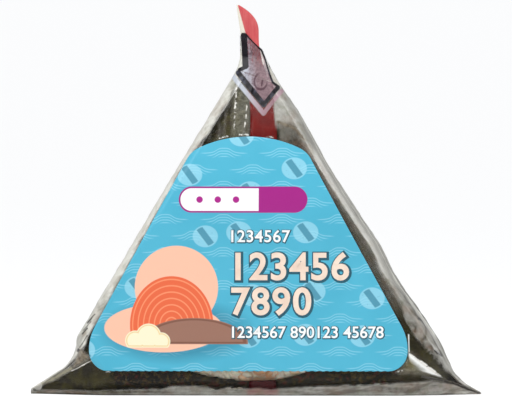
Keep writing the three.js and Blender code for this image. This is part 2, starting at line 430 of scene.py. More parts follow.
def operation(kind, swapped=False):
    """A method that puts a field and other items through one maths node."""

    def method(self, *others):
        node = self.tree.nodes.new("ShaderNodeMath")
        node.operation = kind
        items = (*others, self) if swapped else (self, *others)
        for socket, item in zip(node.inputs, items):
            plug(self.tree, socket, item)
        return Field(self.tree, node.outputs[0])

    return method


class Field:
    """A number that varies over a surface, made by the material's maths nodes."""

    __add__ = __radd__ = operation("ADD")
    __sub__ = operation("SUBTRACT")
    __rsub__ = operation("SUBTRACT", True)
    __mul__ = __rmul__ = operation("MULTIPLY")
    __truediv__ = operation("DIVIDE")
    __rtruediv__ = operation("DIVIDE", True)
    __pow__ = operation("POWER")
    min = operation("MINIMUM")
    max = operation("MAXIMUM")
    abs = operation("ABSOLUTE")
    sqrt = operation("SQRT")
    floor = operation("FLOOR")
    fraction = operation("FRACT")

    def __init__(self, tree, value):
        self.tree = tree
        self.value = value

    def clamp(self):
        return self.max(0).min(1)

    def between(self, low, high):
        """0 at low and 1 at high, with an even rise."""
        return ((self - low) / (high - low)).clamp()


def plug(tree, socket, item):
    if isinstance(item, Field):
        item = item.value
    if isinstance(item, bpy.types.NodeSocket):
        tree.links.new(item, socket)
    else:
        socket.default_value = item


class Surface:
    """A material and its Principled shader, with places on the piece in millimetres."""

    def __init__(self, name, **values):
        self.material = bpy.data.materials.new(name)
        self.material.use_nodes = True
        self.tree = self.material.node_tree
        self.tree.nodes.clear()
        self.shader = self.add("ShaderNodeBsdfPrincipled", **values)
        self.out = self.add("ShaderNodeOutputMaterial", Surface=self.shader.outputs[0])
        scale = self.add("ShaderNodeVectorMath")
        scale.operation = "SCALE"
        plug(self.tree, scale.inputs[0], self.add("ShaderNodeTexCoord").outputs["Object"])
        plug(self.tree, scale.inputs["Scale"], 1 / MM)
        self.place = scale.outputs[0]
        self.x, self.y, self.z = self.parts(self.place)
        self.colour = (255, 255, 255)

    def add(self, kind, **inputs):
        node = self.tree.nodes.new(kind)
        for name, value in inputs.items():
            plug(self.tree, node.inputs[name.replace("_", " ")], value)
        return node

    def noise(self, size, detail=3, roughness=0.55, place=None):
        settings = {"Vector": place or self.place, "Detail": detail, "Roughness": roughness}
        return Field(self.tree, self.add("ShaderNodeTexNoise", Scale=1 / size, **settings).outputs[0])

    def point(self, x, y, z):
        return self.add("ShaderNodeCombineXYZ", X=x, Y=y, Z=z).outputs[0]

    def parts(self, place):
        """The three numbers of a point."""
        split = self.add("ShaderNodeSeparateXYZ", Vector=place)
        return [Field(self.tree, socket) for socket in split.outputs]

    def cells(self, width, height, from_x, from_z, randomness):
        """Offsets in millimetres from the middle of the scattered cell that a point lies in."""
        u, v = self.x / width + from_x, self.z / height + from_z
        node = self.add("ShaderNodeTexVoronoi", Vector=self.point(u, v, 0), Scale=1, Randomness=randomness)
        node.voronoi_dimensions = "2D"
        middle_u, middle_v, _ = self.parts(node.outputs["Position"])
        return (u - middle_u) * width, (v - middle_v) * height

    def stored(self, name):
        node = self.add("ShaderNodeAttribute")
        node.attribute_name = name
        return Field(self.tree, node.outputs["Fac"])

    def blend(self, amount, below, above):
        """Colour below where amount is 0 and colour above where it is 1."""
        node = self.add("ShaderNodeMix", Factor=amount)
        node.data_type = "RGBA"
        for socket, colour in ((node.inputs[6], below), (node.inputs[7], above)):
            plug(self.tree, socket, linear(colour) if isinstance(colour, tuple) else colour)
        return node.outputs[2]

    def paint(self, amount, above):
        """Lays a colour over the surface's colour so far."""
        self.colour = self.blend(amount, self.colour, above)

    def set(self, socket, item):
        plug(self.tree, self.shader.inputs[socket], item)

    def mix_shaders(self, amount, below, above):
        node = self.add("ShaderNodeMixShader", Fac=amount)
        for socket, shader in zip(node.inputs[1:], (below, above)):
            plug(self.tree, socket, shader.outputs[0])
        return node

    def end_with(self, shader):
        plug(self.tree, self.out.inputs["Surface"], shader.outputs[0])

    def bump(self, height, distance):
        """Raises the surface by a height in shares of a distance in millimetres, and gives its normal."""
        normal = self.add("ShaderNodeBump", Distance=distance * MM, Height=height).outputs[0]
        self.set("Normal", normal)
        return normal


def linear(colour):
    """A colour given by its screen values, from 0 to 255, as the shader's own numbers."""
    shares = [value / 255 for value in colour]
    return *(v / 12.92 if v <= 0.04045 else ((v + 0.055) / 1.055) ** 2.4 for v in shares), 1


def circle(x, z, cx, cz, radius):
    return ((x - cx) ** 2 + (z - cz) ** 2).sqrt() - radius


def ellipse(x, z, cx, cz, rx, rz):
    return ((((x - cx) / rx) ** 2 + ((z - cz) / rz) ** 2).sqrt() - 1) * min(rx, rz)


def stroke(x, z, start, end, half):
    """Distance to a straight line with round ends."""
    dx, dz = end[0] - start[0], end[1] - start[1]
    along = (((x - start[0]) * dx + (z - start[1]) * dz) / (dx * dx + dz * dz)).clamp()
    return ((x - start[0] - along * dx) ** 2 + (z - start[1] - along * dz) ** 2).sqrt() - half


def left_of_line(x, z, start, end):
    """Distance to a line, above 0 on the left of the way from start to end."""
    dx, dz = end[0] - start[0], end[1] - start[1]
    length = math.hypot(dx, dz)
    return ((z - start[1]) * dx - (x - start[0]) * dz) / length


def filled(distance, edge=0.12):
    """1 inside a shape and 0 outside, from its distance."""
    return (0.5 - distance / edge).clamp()


def outline(distance, half, edge=0.12):
    return filled(distance.abs() - half, edge)


def nori_material():
    s = Surface("nori", Roughness=0.5, Specular_IOR_Level=0.35)
    broad = s.noise(9)
    fine = s.noise(1.1, 5, 0.7)
    fibre = s.noise(1, 4, 0.6, s.point(s.x * 0.55, s.y * 0.55, s.z * 2.6))
    green = s.blend(broad.between(0.36, 0.64), (27, 22, 14), (70, 64, 24))
    worn = s.blend((fine * 0.6 + fibre * 0.4).between(0.5, 0.72), green, (98, 92, 46))
    brown = s.blend(s.noise(4).between(0.54, 0.7) * 0.6, worn, (58, 34, 26))
    # painted shade: the sheet is darker along the foot, between the two ears
    foot = s.z.between(7.5, 5) * s.x.abs().between(38, 30)
    flecks = s.blend(s.noise(0.9, 3, 0.7).between(0.5, 0.64), (14, 11, 8), (84, 66, 26))
    flecks = s.blend(s.noise(1.7).between(0.54, 0.66), flecks, (84, 26, 24))
    brown = s.blend(foot * 0.8, brown, flecks)
    ear = s.z.between(9.5, 7) * s.x.between(-33, -38)
    olive = s.blend(s.noise(2.4).between(0.42, 0.62), (28, 22, 10), (66, 60, 20))
    s.set("Base Color", s.blend(ear * 0.85, brown, olive))
    s.set("Roughness", fine.between(0.2, 0.8) * 0.25 + 0.42)
    s.bump(fine * 0.6 + fibre * 0.5, 0.35)
    return s.material


def rice_material():
    s = Surface("cooked_rice", Roughness=0.32, Subsurface_Weight=0.35, Subsurface_Scale=0.0015)
    s.set("Subsurface Radius", (1, 0.6, 0.4))
    tone = s.stored("tone")
    grain = s.blend(tone.between(0.45, 0.95), (255, 238, 212), (250, 166, 112))
    cloud = s.noise(1.4, 2)
    s.set("Base Color", s.blend(cloud.between(0.35, 0.8) * 0.4, grain, (242, 206, 166)))
    s.bump(s.noise(0.5), 0.06)
    return s.material


def tape_material():
    s = Surface("red_tape", Roughness=0.3, Specular_IOR_Level=0.15)
    mottle = s.noise(2.2, 4, 0.65)
    streak = s.noise(1, 3, 0.5, s.point(s.x * 2.2, s.y, s.z * 0.25))
    deep = s.blend(mottle.between(0.35, 0.7), (112, 12, 9), (140, 26, 20))
    loose = s.blend(streak.between(0.3, 0.75), (206, 84, 88), (216, 108, 108))
    # above the neck it's a paler red, with a cream left edge
    out = s.z.between(78.6, 80.4)
    cream = filled(s.x + (s.z - TAB_TIP_START) * 0.27 + 2.35, 0.2) * s.z.between(81.4, 82.4)
    # painted shade: the tape on the front is darker below the label's lower edge
    deep = s.blend(s.z.between(6, 4) * s.y.between(-5, -7), deep, (70, 8, 14))
    red = s.blend(out, deep, loose)
    s.set("Base Color", s.blend(cream, red, (236, 230, 214)))
    s.bump(mottle + streak * 0.5, 0.05)
    # the tape is thin enough for the rice behind it to show through at the foot
    thin = s.z.between(3, 3.6) * s.z.between(7, 6.4) * s.y.between(-5, -7)
    s.end_with(s.mix_shaders(thin, s.shader, s.add("ShaderNodeBsdfTransparent", Color=(0.99, 0.96, 0.95, 1))))
    return s.material


ARROW_HEAVY = (
    ((-2.75, 82.6), (-2.25, 75.6), 0.72),
    ((-2.1, 75.4), (-3.6, 74.75), 0.45),
    ((-3.9, 74.05), (2.2, 66.75), 0.62),
    ((2.2, 66.75), (5.2, 70.55), 0.5),
)
ARROW_LIGHT = (
    ((5.4, 70.85), (4.1, 71.85), 0.26),
    ((4.1, 71.85), (3.4, 73.55), 0.22),
    ((3.4, 73.55), (2.3, 76.85), 0.2),
    ((2.3, 76.85), (1.3, 79.3), 0.2),
    ((1.3, 79.3), (-2.3, 82.95), 0.24),
)
ARROW_RIM = (((-5, 73.15), (2.2, 64.75), 0.55), ((2.2, 64.75), (6.1, 69.85), 0.5))
ARROW_FILL = (
    ((-4, 74.75), (2.2, 66.75), (5.4, 70.75), (4.1, 71.85)),
    ((-4, 74.75), (4.1, 71.85), (2.3, 76.85), (-2.4, 75.45)),
    ((-2.4, 75.25), (2.3, 76.65), (1.4, 79.3), (-2.6, 79.5)),
    ((-2.6, 79.4), (1.4, 79.2), (-2, 82.8), (-2.8, 82.9)),
)


def strokes(x, z, lines):
    """Distance to the nearest of several lines."""
    return reduce(Field.min, (stroke(x, z, *line) for line in lines))


def polygon(x, z, corners):
    """Distance to a convex shape, its corners in anticlockwise order."""
    ahead = corners[1:] + corners[:1]
    return reduce(Field.max, (left_of_line(x, z, end, start) for start, end in zip(corners, ahead)))


def film_material():
    """Clear film: see-through where it faces the eye, mirror-like where it turns away, milky in its folds,
    with painted highlights and painted shade along its creases.
    """
    s = Surface("clear_film", Specular_IOR_Level=0.3)
    x, z = s.x, s.z
    front = s.y.between(0.3, -0.3)
    crumple = s.noise(1.6, 4, 0.65)
    fine = s.noise(0.7, 3, 0.6)

    # milky film, from warm grey to near white
    haze = s.stored("haze")
    face = 1 - s.stored("side") * 0.8
    folded = front * (1 - s.stored("flank"))
    shade = (s.stored("shade") + (crumple - 0.5) * 0.7 * face).clamp()
    s.colour = s.blend(shade, (74, 67, 55), (228, 227, 218))

    # streaks that rise to the right along the foot, with the tape's red behind them
    low = z.between(4.2, 3.2) * front
    rising = s.noise(1.5, 2, 0.5, s.point(x * 0.12, s.y * 0.3, z - x * 0.27))
    to_right = x.between(0, 16)
    s.paint(rising.between(0.52, 0.62) * low * mix(0.25, 0.7, to_right), (112, 102, 94))
    s.paint(rising.between(0.46, 0.38) * low * to_right * 0.4, (190, 180, 174))
    red = filled((x - TAPE_X).abs() - 3.6, 0.8) * low
    s.paint(red * 0.42, (176, 96, 98))

    # brownish and greenish patches
    s.paint(s.noise(3.4).between(0.46, 0.64) * 0.38 * face, (146, 118, 98))
    moss = s.noise(2.6, 3, 0.6, s.point(x + 40, s.y, z)).between(0.5, 0.66)
    s.paint(moss * 0.3 * face, (118, 122, 92))
    brown = filled(strokes(x, z, BROWN_FOLDS) + (crumple - 0.5) * 0.8, 0.6)
    brown = brown.max(filled(polygon(x, z, BROWN_CORNER), 0.8)) * folded
    s.paint(brown * 0.8, s.blend(crumple.between(0.4, 0.6), (112, 96, 74), (172, 158, 134)))

    # the creased film left of the tape shows the nori's green
    green = x.between(-5.8, -4.6) * x.between(-0.8, -1.6) * z.between(57, 59) * z.between(73, 71)
    s.paint(green * folded * 0.65, s.blend(fine.between(0.42, 0.6), (92, 92, 68), (158, 156, 132)))

    # painted highlights along sharp folds, glints and a ring at the left ear's tip; the left ear's pale edge;
    # dark folds; and the facet by the right ear, painted with a highlight
    wobble = (s.noise(1.3, 2) - 0.5) * 0.5
    bent_x = x + (s.noise(2.6, 2) - 0.5) * 0.6
    bent_z = z + (s.noise(2.6, 2, 0.5, s.point(x, s.y + 30, z)) - 0.5) * 0.6
    # painted highlights along the sharp folds
    fold_highlight = filled(strokes(bent_x, bent_z, HIGHLIGHT_FOLDS) + wobble * 0.5, 0.25) * fine.between(0.3, 0.44)
    glint = filled(strokes(bent_x, bent_z, GLINTS) + wobble * 0.4, 0.3) * fine.between(0.42, 0.55)
    # a pale ring at the left ear's tip, a painted highlight
    tip = outline(ellipse(x, z, -50.35, 1.75, 0.6, 0.5) + wobble, 0.45)
    edge_glint = filled(stroke(x, z, *EDGE_GLINT), 0.15)
    # all the painted highlights together
    light = reduce(Field.max, (fold_highlight, tip * 0.5, glint, edge_glint)) * folded
    # dark folds: partly the nori showing through, partly painted shade in the creases
    dark = filled(strokes(bent_x, bent_z, DARK_FOLDS) + wobble * 0.4, 0.3) * folded
    ear_edge = filled(strokes(x, z, EAR_EDGE) + (crumple - 0.5) * 0.8, 0.7) * folded
    patch = filled(polygon(x, z, CORNER_PATCH) + (crumple - 0.5) * 2, 1.6) * folded
    facet = filled(polygon(x, z, FACET) + wobble * 0.5, 0.5) * folded
    # the facet's painted highlight: white along its upper edge and towards its tip, grey to olive towards its
    # left
    facet_top, _, facet_tip = FACET
    within = left_of_line(x, z, facet_tip, facet_top) + wobble
    facet_highlight = within.between(1.6, 0.6).max((x - 38).between(0, 2))
    facet_grey = s.blend((x + wobble * 2).between(36.2, 38.4), (132, 122, 78), (168, 168, 156))
    s.paint(ear_edge * 0.8, (176, 170, 144))
    s.paint(patch, s.blend(fine.between(0.4, 0.6), (96, 86, 52), (176, 168, 140)))
    s.paint(facet, s.blend(facet_highlight, facet_grey, (255, 255, 252)))
    s.paint(dark, (34, 29, 25))
    # the painted highlights, near white
    s.paint(light, (250, 247, 240))
    facet_solid = facet * (0.6 + 0.35 * facet_highlight)
    solid = (haze, patch * 0.5, ear_edge * 0.6, facet_solid, dark * 0.88, light * 0.9, brown * 0.62)

    # the printed arrow on the neck
    fill = filled(reduce(Field.min, (polygon(x, z, corners) for corners in ARROW_FILL)), 0.2) * front
    black = filled(strokes(x, z, ARROW_HEAVY + ARROW_LIGHT)) * front
    rim = filled(strokes(x, z, ARROW_RIM), 0.3) * front
    bent = wobble * 0.4
    ring = outline(ellipse(x, z, 1.4, 72.1, 1.5, 1.85) + bent, 0.2)
    ring = ring * filled((x - 1.4) * 0.75 + (z - 72.1) * 0.65 - 0.7, 0.8)
    mark = ring.max(filled(stroke(x, z, (1.75, 72.3), (1.6, 71.1), 0.2) + bent)) * front
    across_shaft = (x + 2.2 + (z - 74.2) * 0.1).between(0, 2.6)
    veil = s.blend(across_shaft, (196, 202, 214), (150, 124, 130))
    veil = s.blend(fine.between(0.4, 0.66) * 0.75, veil, (104, 80, 88))
    streak = s.noise(0.9, 3, 0.6, s.point(x * 2.2, s.y, z * 0.35)).between(0.46, 0.62)
    veil = s.blend(streak * z.between(75, 77.5) * 0.75, veil, (158, 84, 86))
    s.paint(fill, veil)
    s.paint(rim, s.blend(x.between(-2.5, 2.5), (200, 206, 216), (192, 158, 168)))
    s.paint(mark * 0.85, (70, 34, 50))
    # the painted highlights also lie over the arrow's fill, a little greyer
    s.paint(light * fill * 0.7, (232, 226, 218))
    glare = s.noise(1.8, 2).between(0.5, 0.68) * z.between(75, 74)
    s.paint(black, s.blend(glare, (14, 9, 18), (66, 68, 82)))
    fill_solid = fill * mix(0.8, 0.62, (z - 75).between(0, 2.5))
    rim_solid = rim * mix(0.8, 0.42, x.between(-1, 5))
    solid = reduce(Field.max, (*solid, fill_solid, rim_solid, mark * fill * 0.9, black * 0.97)).clamp()

    s.set("Base Color", s.colour)
    s.set("Roughness", 0.22 + 0.2 * fine + 0.4 * z.between(3.6, 2.6))
    normal = s.bump(crumple * 0.6 + fine * 0.4, 0.12)
    clear = s.add("ShaderNodeBsdfTransparent", Color=(0.97, 0.97, 0.955, 1))
    mirror = s.add("ShaderNodeBsdfGlossy", Color=(0.97, 0.97, 0.96, 1), Roughness=0.12, Normal=normal)
    fresnel = s.add("ShaderNodeFresnel", IOR=1.18, Normal=normal)
    s.end_with(s.mix_shaders(solid, s.mix_shaders(fresnel.outputs[0], clear, mirror), s.shader))
    return s.material


def label_material():
    """Sky blue with pale waves and pebbles, a plain plaque, and a sun behind two hills."""
    s = Surface("label_print", Roughness=0.36, Specular_IOR_Level=0.35)
    x, z = s.x, s.z
    s.colour = s.blend(s.noise(14, 2).between(0.4, 0.6) * 0.5, (76, 176, 204), (84, 184, 212))

    # rows of nested wave lines, each row set off by half a wave from the next
    row = (z / WAVE_ROW).floor()
    dx = ((x / WAVE_LENGTH + row * 0.5).fraction() - 0.5) * WAVE_LENGTH
    dz = z - (row + 0.5) * WAVE_ROW
    humps = []
    for k in range(4):
        hump = dz - 0.5 + 0.62 * k - 1.15 / (1 + (dx / 1.9) ** 4)
        humps.append(filled(hump.abs() - 0.1, 0.2) * dx.abs().between(5.6 - 1.35 * k, 4.4 - 1.35 * k))
    s.paint(reduce(Field.max, humps) * 0.4, (180, 232, 246))

    # pale pebbles with a teal band
    dx, dz = s.cells(13.5, 12, 7.3, 2.15, 0.5)
    pebble = ellipse(dx, dz, 0, 0, 2.9, 2.5)
    grain = s.noise(0.5, 1).between(0.66, 0.72)
    s.paint(filled(pebble, 0.2) * 0.62, (160, 218, 236))
    s.paint(filled(pebble + 0.4, 0.2) * grain * 0.5, (104, 172, 196))
    band = (dx * 0.8 + dz * 0.6).abs() - 0.75
    s.paint(filled(band.max(pebble + 0.3), 0.2) * 0.9, (70, 142, 166))

    # the sun, a peach disc on a peach shore, behind two hills and a cloud, with a soft shadow under them
    sun = circle(x, z, -17.5, 24.8, 9.6)
    shore = ellipse(x, z, -20.5, 15.5, 13.6, 5.6)
    hill_round = ellipse(x, z, -18.6, 16.2, 9.6, 11.2)
    hill = hill_round.max(14.2 - z)
    low_round = ellipse(x, z, -13.4, 12, 12.4, 5.8)
    low = low_round.max(11.8 - z)
    shadow = ellipse(x, z, -17.6, 14.8, 15.6, 6.6).between(1.4, -1.4)
    s.paint(shadow * 0.55, (38, 108, 134))
    s.paint(filled(sun.min(shore)), (250, 194, 166))
    s.paint(filled(hill), (234, 106, 66))
    arcs = ((hill_round / 1.25).fraction() - 0.5).abs() - 0.1
    s.paint(filled(hill + 0.4) * filled(arcs, 0.14), (248, 150, 108))
    s.paint(filled(low), (154, 112, 95))
    s.paint(outline(low + 0.35, 0.18), (128, 86, 70))
    puffs = ((-27, 12.6, 2.3), (-23.9, 13.6, 2.9), (-21, 12.4, 2.1))
    cloud = reduce(Field.min, (circle(x, z, *puff) for puff in puffs)).max(11 - z)
    s.paint(filled(cloud), (250, 240, 206))
    s.paint(outline(cloud + 0.35, 0.14), (238, 212, 158))

    # the plaque: a white pill with a plum rim and a plum end
    pill = stroke(x, z, (-14, 45), (9.6, 45), 3)
    s.paint(filled(pill), (158, 38, 128))
    s.paint(filled(pill + 0.4), (250, 248, 250))
    s.paint(filled(pill.max(1.4 - x)), (164, 34, 132))
    for i in range(3):
        s.paint(filled(circle(x, z, -12.2 + 4.2 * i, 45, 0.75)), (172, 36, 138))

    s.set("Base Color", s.colour)
    s.set("Roughness", 0.3 + 0.14 * s.noise(3, 2))
    s.bump(s.noise(0.6), 0.02)
    return s.material


def plain_material(name, colour, other, roughness):
    s = Surface(name, Roughness=roughness)
    s.set("Base Color", s.blend(s.noise(3).between(0.35, 0.7), colour, other))
    s.bump(s.noise(0.6, 2), 0.01)
    return s.material


# The pieces


def read_table(table, at):
    places, values = zip(*table)
    return np.interp(at, places, values)


def near_line(x, z, start, end, width):
    """1 along a line and falling off to its sides."""
    dx, dz = end[0] - start[0], end[1] - start[1]
    along = np.clip(((x - start[0]) * dx + (z - start[1]) * dz) / (dx * dx + dz * dz), 0, 1)
    away = np.hypot(x - start[0] - along * dx, z - start[1] - along * dz)
    return np.exp(-((away / width) ** 2))


def flank_folds(points, normals):
    """The film's two sides and their drawn-in middles, and the flap, its folds and the seam on them."""
    _, y, z = points.T
    edge = BODY.slice(z)[5]
    side = smooth(0.72, 0.84, np.abs(normals[:, 0])) * smooth(3, 6, z)
    flank = side * smooth(0.8, 3.2, edge - np.abs(y)) * smooth(70, 64, z)
    flap_half = FLAP_HALF * (1 - share(FLAP_FOOT, FLAP_TOP, z))
    flap = smooth(-0.6, 0.6, flap_half - np.abs(y)) * smooth(FLAP_TOP, FLAP_TOP - 1, z)
    folds = near_line(y, z, (0, FLAP_TOP), (0, SEAM_TOP), 0.6)
    for half in (-FLAP_HALF, FLAP_HALF):
        folds = folds + near_line(y, z, (half, FLAP_FOOT), (0, FLAP_TOP), 0.9)
    return side, flank, flap, np.clip(folds, 0, 1)


def film_relief(points):
    """How far the film stands off the pack's smooth shape, in crinkles and gathered folds."""
    x, y, z = points.T
    left, right = BODY.edges(z)
    front = y < 0
    gap = np.minimum(x - left, right - x)
    over_label = np.minimum.reduce([label_half(z) - np.abs(x - LABEL_X), z - LABEL_BOTTOM, LABEL_TOP - z])
    free = 1 - smooth(-0.9, 0.3, over_label) * front
    band = np.exp(-((gap / 4) ** 2)) * smooth(2, 9, z)
    low = smooth(6, 2.2, z)

    slow = 0.14 + 0.12 * cloudy(points, 9, 11)
    crumple = creases(points * (1, 0.8, 0.7), 4.5, 21) * (0.16 + 0.42 * band)
    small = creases(points, 2.2, 31, 3) * (0.04 + 0.2 * band)
    foot = creases(points * (0.3, 0.6, 1.6), 3, 41) * low * 0.3 * smooth(-46, -36, x)

    # folds that fan out from the ears' tips
    side = np.abs(x)
    from_tip = np.hypot(EAR_END - side, z - 0.6)
    turn = np.arctan2(z - 0.6, EAR_END - side + 1e-6)
    wander = cloudy(points, 9, 51, 2)
    fan = pleats(turn * 3.4 + 0.35 * wander + 0.3 * np.sign(x), 5) * np.exp(-from_tip / 17) * 0.55

    # folds that gather towards the neck
    across = (x - (left + right) / 2) / np.maximum(right - left, 1)
    gather = pleats(across * 4.6 + 0.3 * wander + 0.2, 6) * smooth(56, 67, z) * smooth(78, 73, z)
    near_tape = np.exp(-(((x - TAPE_X) / 4) ** 2)) * smooth(81, 76, z)
    gather *= 0.42 * (1 - 0.8 * near_tape * front)

    # the pressed folds from the label's lower corners to the ears, and the same at the back
    pressed = near_line(x, z, (35.6, 10.1), (44, 3.5), 0.7)
    pressed = pressed + near_line(x, z, (-36.6, 8.1), (-43.5, 4.7), 0.6)

    height = (slow + crumple + small + foot) * free + (fan + gather + 0.5 * pressed) * np.maximum(free, 0.1)
    height *= smooth(0, 1.6, z)
    height *= 1 - 0.8 * near_tape * smooth(55, 66, z)
    return np.clip(height * (1 - 0.75 * smooth(75, 79, z)), 0, 0.62)


def film_milkiness(points, flank, flap, folds):
    """How milky the film is, and how light its milky parts are."""
    x, y, z = points.T
    left, right = BODY.edges(z)
    front = np.where(y < 0, 1, 0)
    right_side = smooth(1, 2.5, x)
    soft = 0.25 * cloudy(points, 3, 301, 2)
    left_gap = x - left + soft
    right_gap = right - x + soft
    left_width = read_table(LEFT_BAND, z)
    right_width = mix(left_width, read_table(RIGHT_BAND, z), front)
    left_band = smooth(left_width + 0.3, left_width - 0.35, left_gap)
    sharp = smooth(22, 17, z)
    right_band = smooth(right_width + mix(0.6, 0.2, sharp), right_width - mix(0.5, 0.3, sharp), right_gap)
    below_neck = smooth(mix(77, 74.5, right_side), mix(74, 71.5, right_side), z)

    # the inner side of the right slope is a duller brown
    inner = smooth(7, 4, right_gap) * smooth(17, 24, z) * smooth(63, 58, z) * front
    # to the right of the tape the film hangs loose and pale, and left of it it's drawn into upright folds
    loose = smooth(4.7, 5.4, x + 0.1 * (z - 61)) * smooth(60.5, 63.5, z + soft) * below_neck * front
    above_label = smooth(57, 60, z) * below_neck * front
    upright = creases(points * (1, 0.4, 0.16), 1.5, 341, 1.5) * smooth(-1, -2, x) * above_label
    # creased film beside the tape, with a clear patch further left
    creased = smooth(-5.4, -4.2, x) * smooth(-0.6, -1.4, x) * above_label
    below_fold = smooth(5.6, 6.6, x) * smooth(63, 62, z) * smooth(56, 58, z) * front

    strip_top = read_table(FOOT_STRIP, x) + 0.35 * cloudy(points * (1, 0, 0), 2.5, 311, 2)
    strip = smooth(strip_top + 0.3, strip_top - 0.3, z)
    slant = np.stack([0.1 * x + 0.9 * z, 0.3 * y, z - 0.03 * x], axis=1)
    streaks = creases(slant, 1.1, 321, 1.5)

    # milky bands along the outline, partly a painted reflection of the film's turned edges
    haze = 0.86 * left_band + 0.74 * right_band * (1 - loose) + 0.7 * loose
    haze = haze + (0.3 * inner + 0.34 * below_fold * (1 - loose)) * (1 - right_band)
    haze = haze + (0.16 * upright + 0.3 * creased) * (1 - left_band)
    to_right = smooth(-20, 42, x)
    strip_haze = mix(0.95, 0.82, smooth(-32, -10, x))
    # beside the arrow the empty film is nearly white
    empty = smooth(2, 3, x) * smooth(69, 71.5, z) * smooth(76.5, 74.5, z) * front
    empty = np.maximum(empty, smooth(-2.8, -3.1, x) * smooth(74, 75, z) * smooth(80, 78, z))
    haze = np.maximum(haze * below_neck, np.maximum(strip * strip_haze, 0.93 * empty))
    shade = 0.6 + 0.45 * left_band - 0.4 * inner * (1 - right_band)
    shade -= (0.2 * upright + 0.16 * creased) * (1 - left_band) + 0.2 * below_fold
    shade -= 0.25 * smooth(44, 49, -x) * left_band
    shade -= 0.22 * right_band * smooth(6, 9, z) * smooth(30, 22, z)
    shade = mix(shade, 0.95, 0.8 * empty)
    foot_shade = 0.04 + 0.22 * smooth(-30, -12, x) + (0.2 + 0.15 * to_right) * streaks
    # painted light: the loose film is lighter along the very bottom, where the floor's contact shadow falls
    foot_shade += 0.5 * smooth(0.8, 0, z) * smooth(-40, -20, x)
    foot_shade -= 0.08 * smooth(0, 36, x)
    shade = mix(shade, foot_shade, strip)
    wrinkles = creases(points * (1, 1, 0.45), 5, 351, 3)
    haze = mix(haze, 0.42 + 0.26 * flap + 0.3 * folds + 0.1 * wrinkles, flank)
    shade = mix(shade, 0.62 + 0.12 * flap + 0.3 * folds + 0.1 * wrinkles, flank)
    # painted shade in the crinkles of the milky bands
    crease_shade = creases(points * (1, 0.5, 0.8), 2.6, 331, 3) * smooth(8, 11, z) * smooth(26, 20, z)
    shade -= 0.55 * crease_shade * np.maximum(left_band, right_band) * (1 - flank)
    return np.clip(haze, 0, 0.95), np.clip(shade, 0, 1)


def over_tape(points):
    """The film's points, with its front drawn out over the tape."""
    x, y, z = points.T
    place = tape_on_front(z)
    near = smooth(place[:, 3] + 0.9, place[:, 3] + 0.1, np.abs(x - place[:, 0]))
    near *= (y < 0) * smooth(3, 5, z)
    drawn = points.copy()
    drawn[:, 1] = mix(y, np.minimum(y, place[:, 1] - 0.18), near)
    return drawn


def hanging(points):
    """How far the loose film along the foot stands out from the pack's rounded lower edge."""
    x, y, z = points.T
    here = BODY.depth(x, z)
    out = np.maximum(0, BODY.depth(x, np.maximum(z, BASE_ROUNDING)) - here)
    at_face = np.clip((np.abs(y) / here - 0.8) / 0.2, 0, 1)
    return FOOT_HANG * out * at_face * smooth(44, 36, np.abs(x)) * np.sign(y)


def add_film():
    heights = spaced([(0, 4, 0.3), (4, 60, 0.6), (60, NECK_TOP, 0.42)])
    film = closed_shell("film", FILM, heights, (168, 8, 24), film_material())
    points, normals = vertices(film)
    side, flank, flap, folds = flank_folds(points, normals)
    haze, shade = film_milkiness(points, flank, flap, folds)
    for name, values in (("haze", haze), ("shade", shade), ("side", side), ("flank", flank)):
        set_values(film, name, values)
    # the outline stays even: crinkles move the film mostly forward and back
    inward = np.where(points[:, 1] > 0, 0.55, 0) * smooth(0, 4, points[:, 2]) * np.abs(normals[:, 1])
    move = film_relief(points)[:, None] * normals * (0.3, 1, 0.3)
    move -= (0.45 * flank * (1 - folds))[:, None] * normals * (1, 0, 0.6)
    move[:, 1] += hanging(points) - inward
    moved = over_tape(points + move)
    reach, forward, backward = FILM_LIMITS
    set_points(film, np.clip(moved, (-reach, forward, 0), (reach, backward, NECK_TOP)))
    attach(film, "root")
    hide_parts("wrapper")


def add_nori():
    heights = spaced([(NORI_FLOOR, 6, 0.5), (6, 58, 1), (58, NORI_TOP, 0.7)])
    nori = closed_shell("nori_sheet", NORI, heights, (110, 5, 18), nori_material())
    points, normals = vertices(nori)
    x, y, z = points.T
    wave = 0.22 * cloudy(points, 10, 101) + 0.12 * creases(points * (0.7, 1, 1.3), 5, 111)
    fine = 0.05 * cloudy(points, 1.3, 121, 2)
    set_points(nori, points + normals * (wave * smooth(1, 5, z) + fine)[:, None])
    # the gap behind the label's foot: its border's points are drawn out onto one even curve
    wx, wz, rx, rz = WINDOW
    ragged = 1 + 0.02 * cloudy(points * (1, 0, 1), 3, 131)
    out = np.hypot((x - wx) / rx, (z - wz) / rz) / ragged
    inside = (out < 1) & (y < -5)
    mesh = nori.data
    keep = np.array([p.vertices[:] for p in mesh.polygons if not all(inside[v] for v in p.vertices)])
    moved, _ = vertices(nori)
    to_x = np.where(inside, wx + (x - wx) / np.maximum(out, 0.1), x)
    to_z = np.where(inside, wz + (z - wz) / np.maximum(out, 0.1), z)
    moved += np.stack([to_x - x, NORI.depth(x, z) - NORI.depth(to_x, to_z), to_z - z], axis=1)
    used, faces = np.unique(keep, return_inverse=True)
    material = mesh.materials[0]
    bpy.data.objects.remove(nori)
    bpy.data.meshes.remove(mesh)
    nori = make_object("nori_sheet", moved[used], faces.reshape(keep.shape).tolist(), material)
    thick = nori.modifiers.new("thickness", "SOLIDIFY")
    thick.thickness = 0.25 * MM
    thick.offset = -1
    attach(nori, "root")
    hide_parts("wrapper")


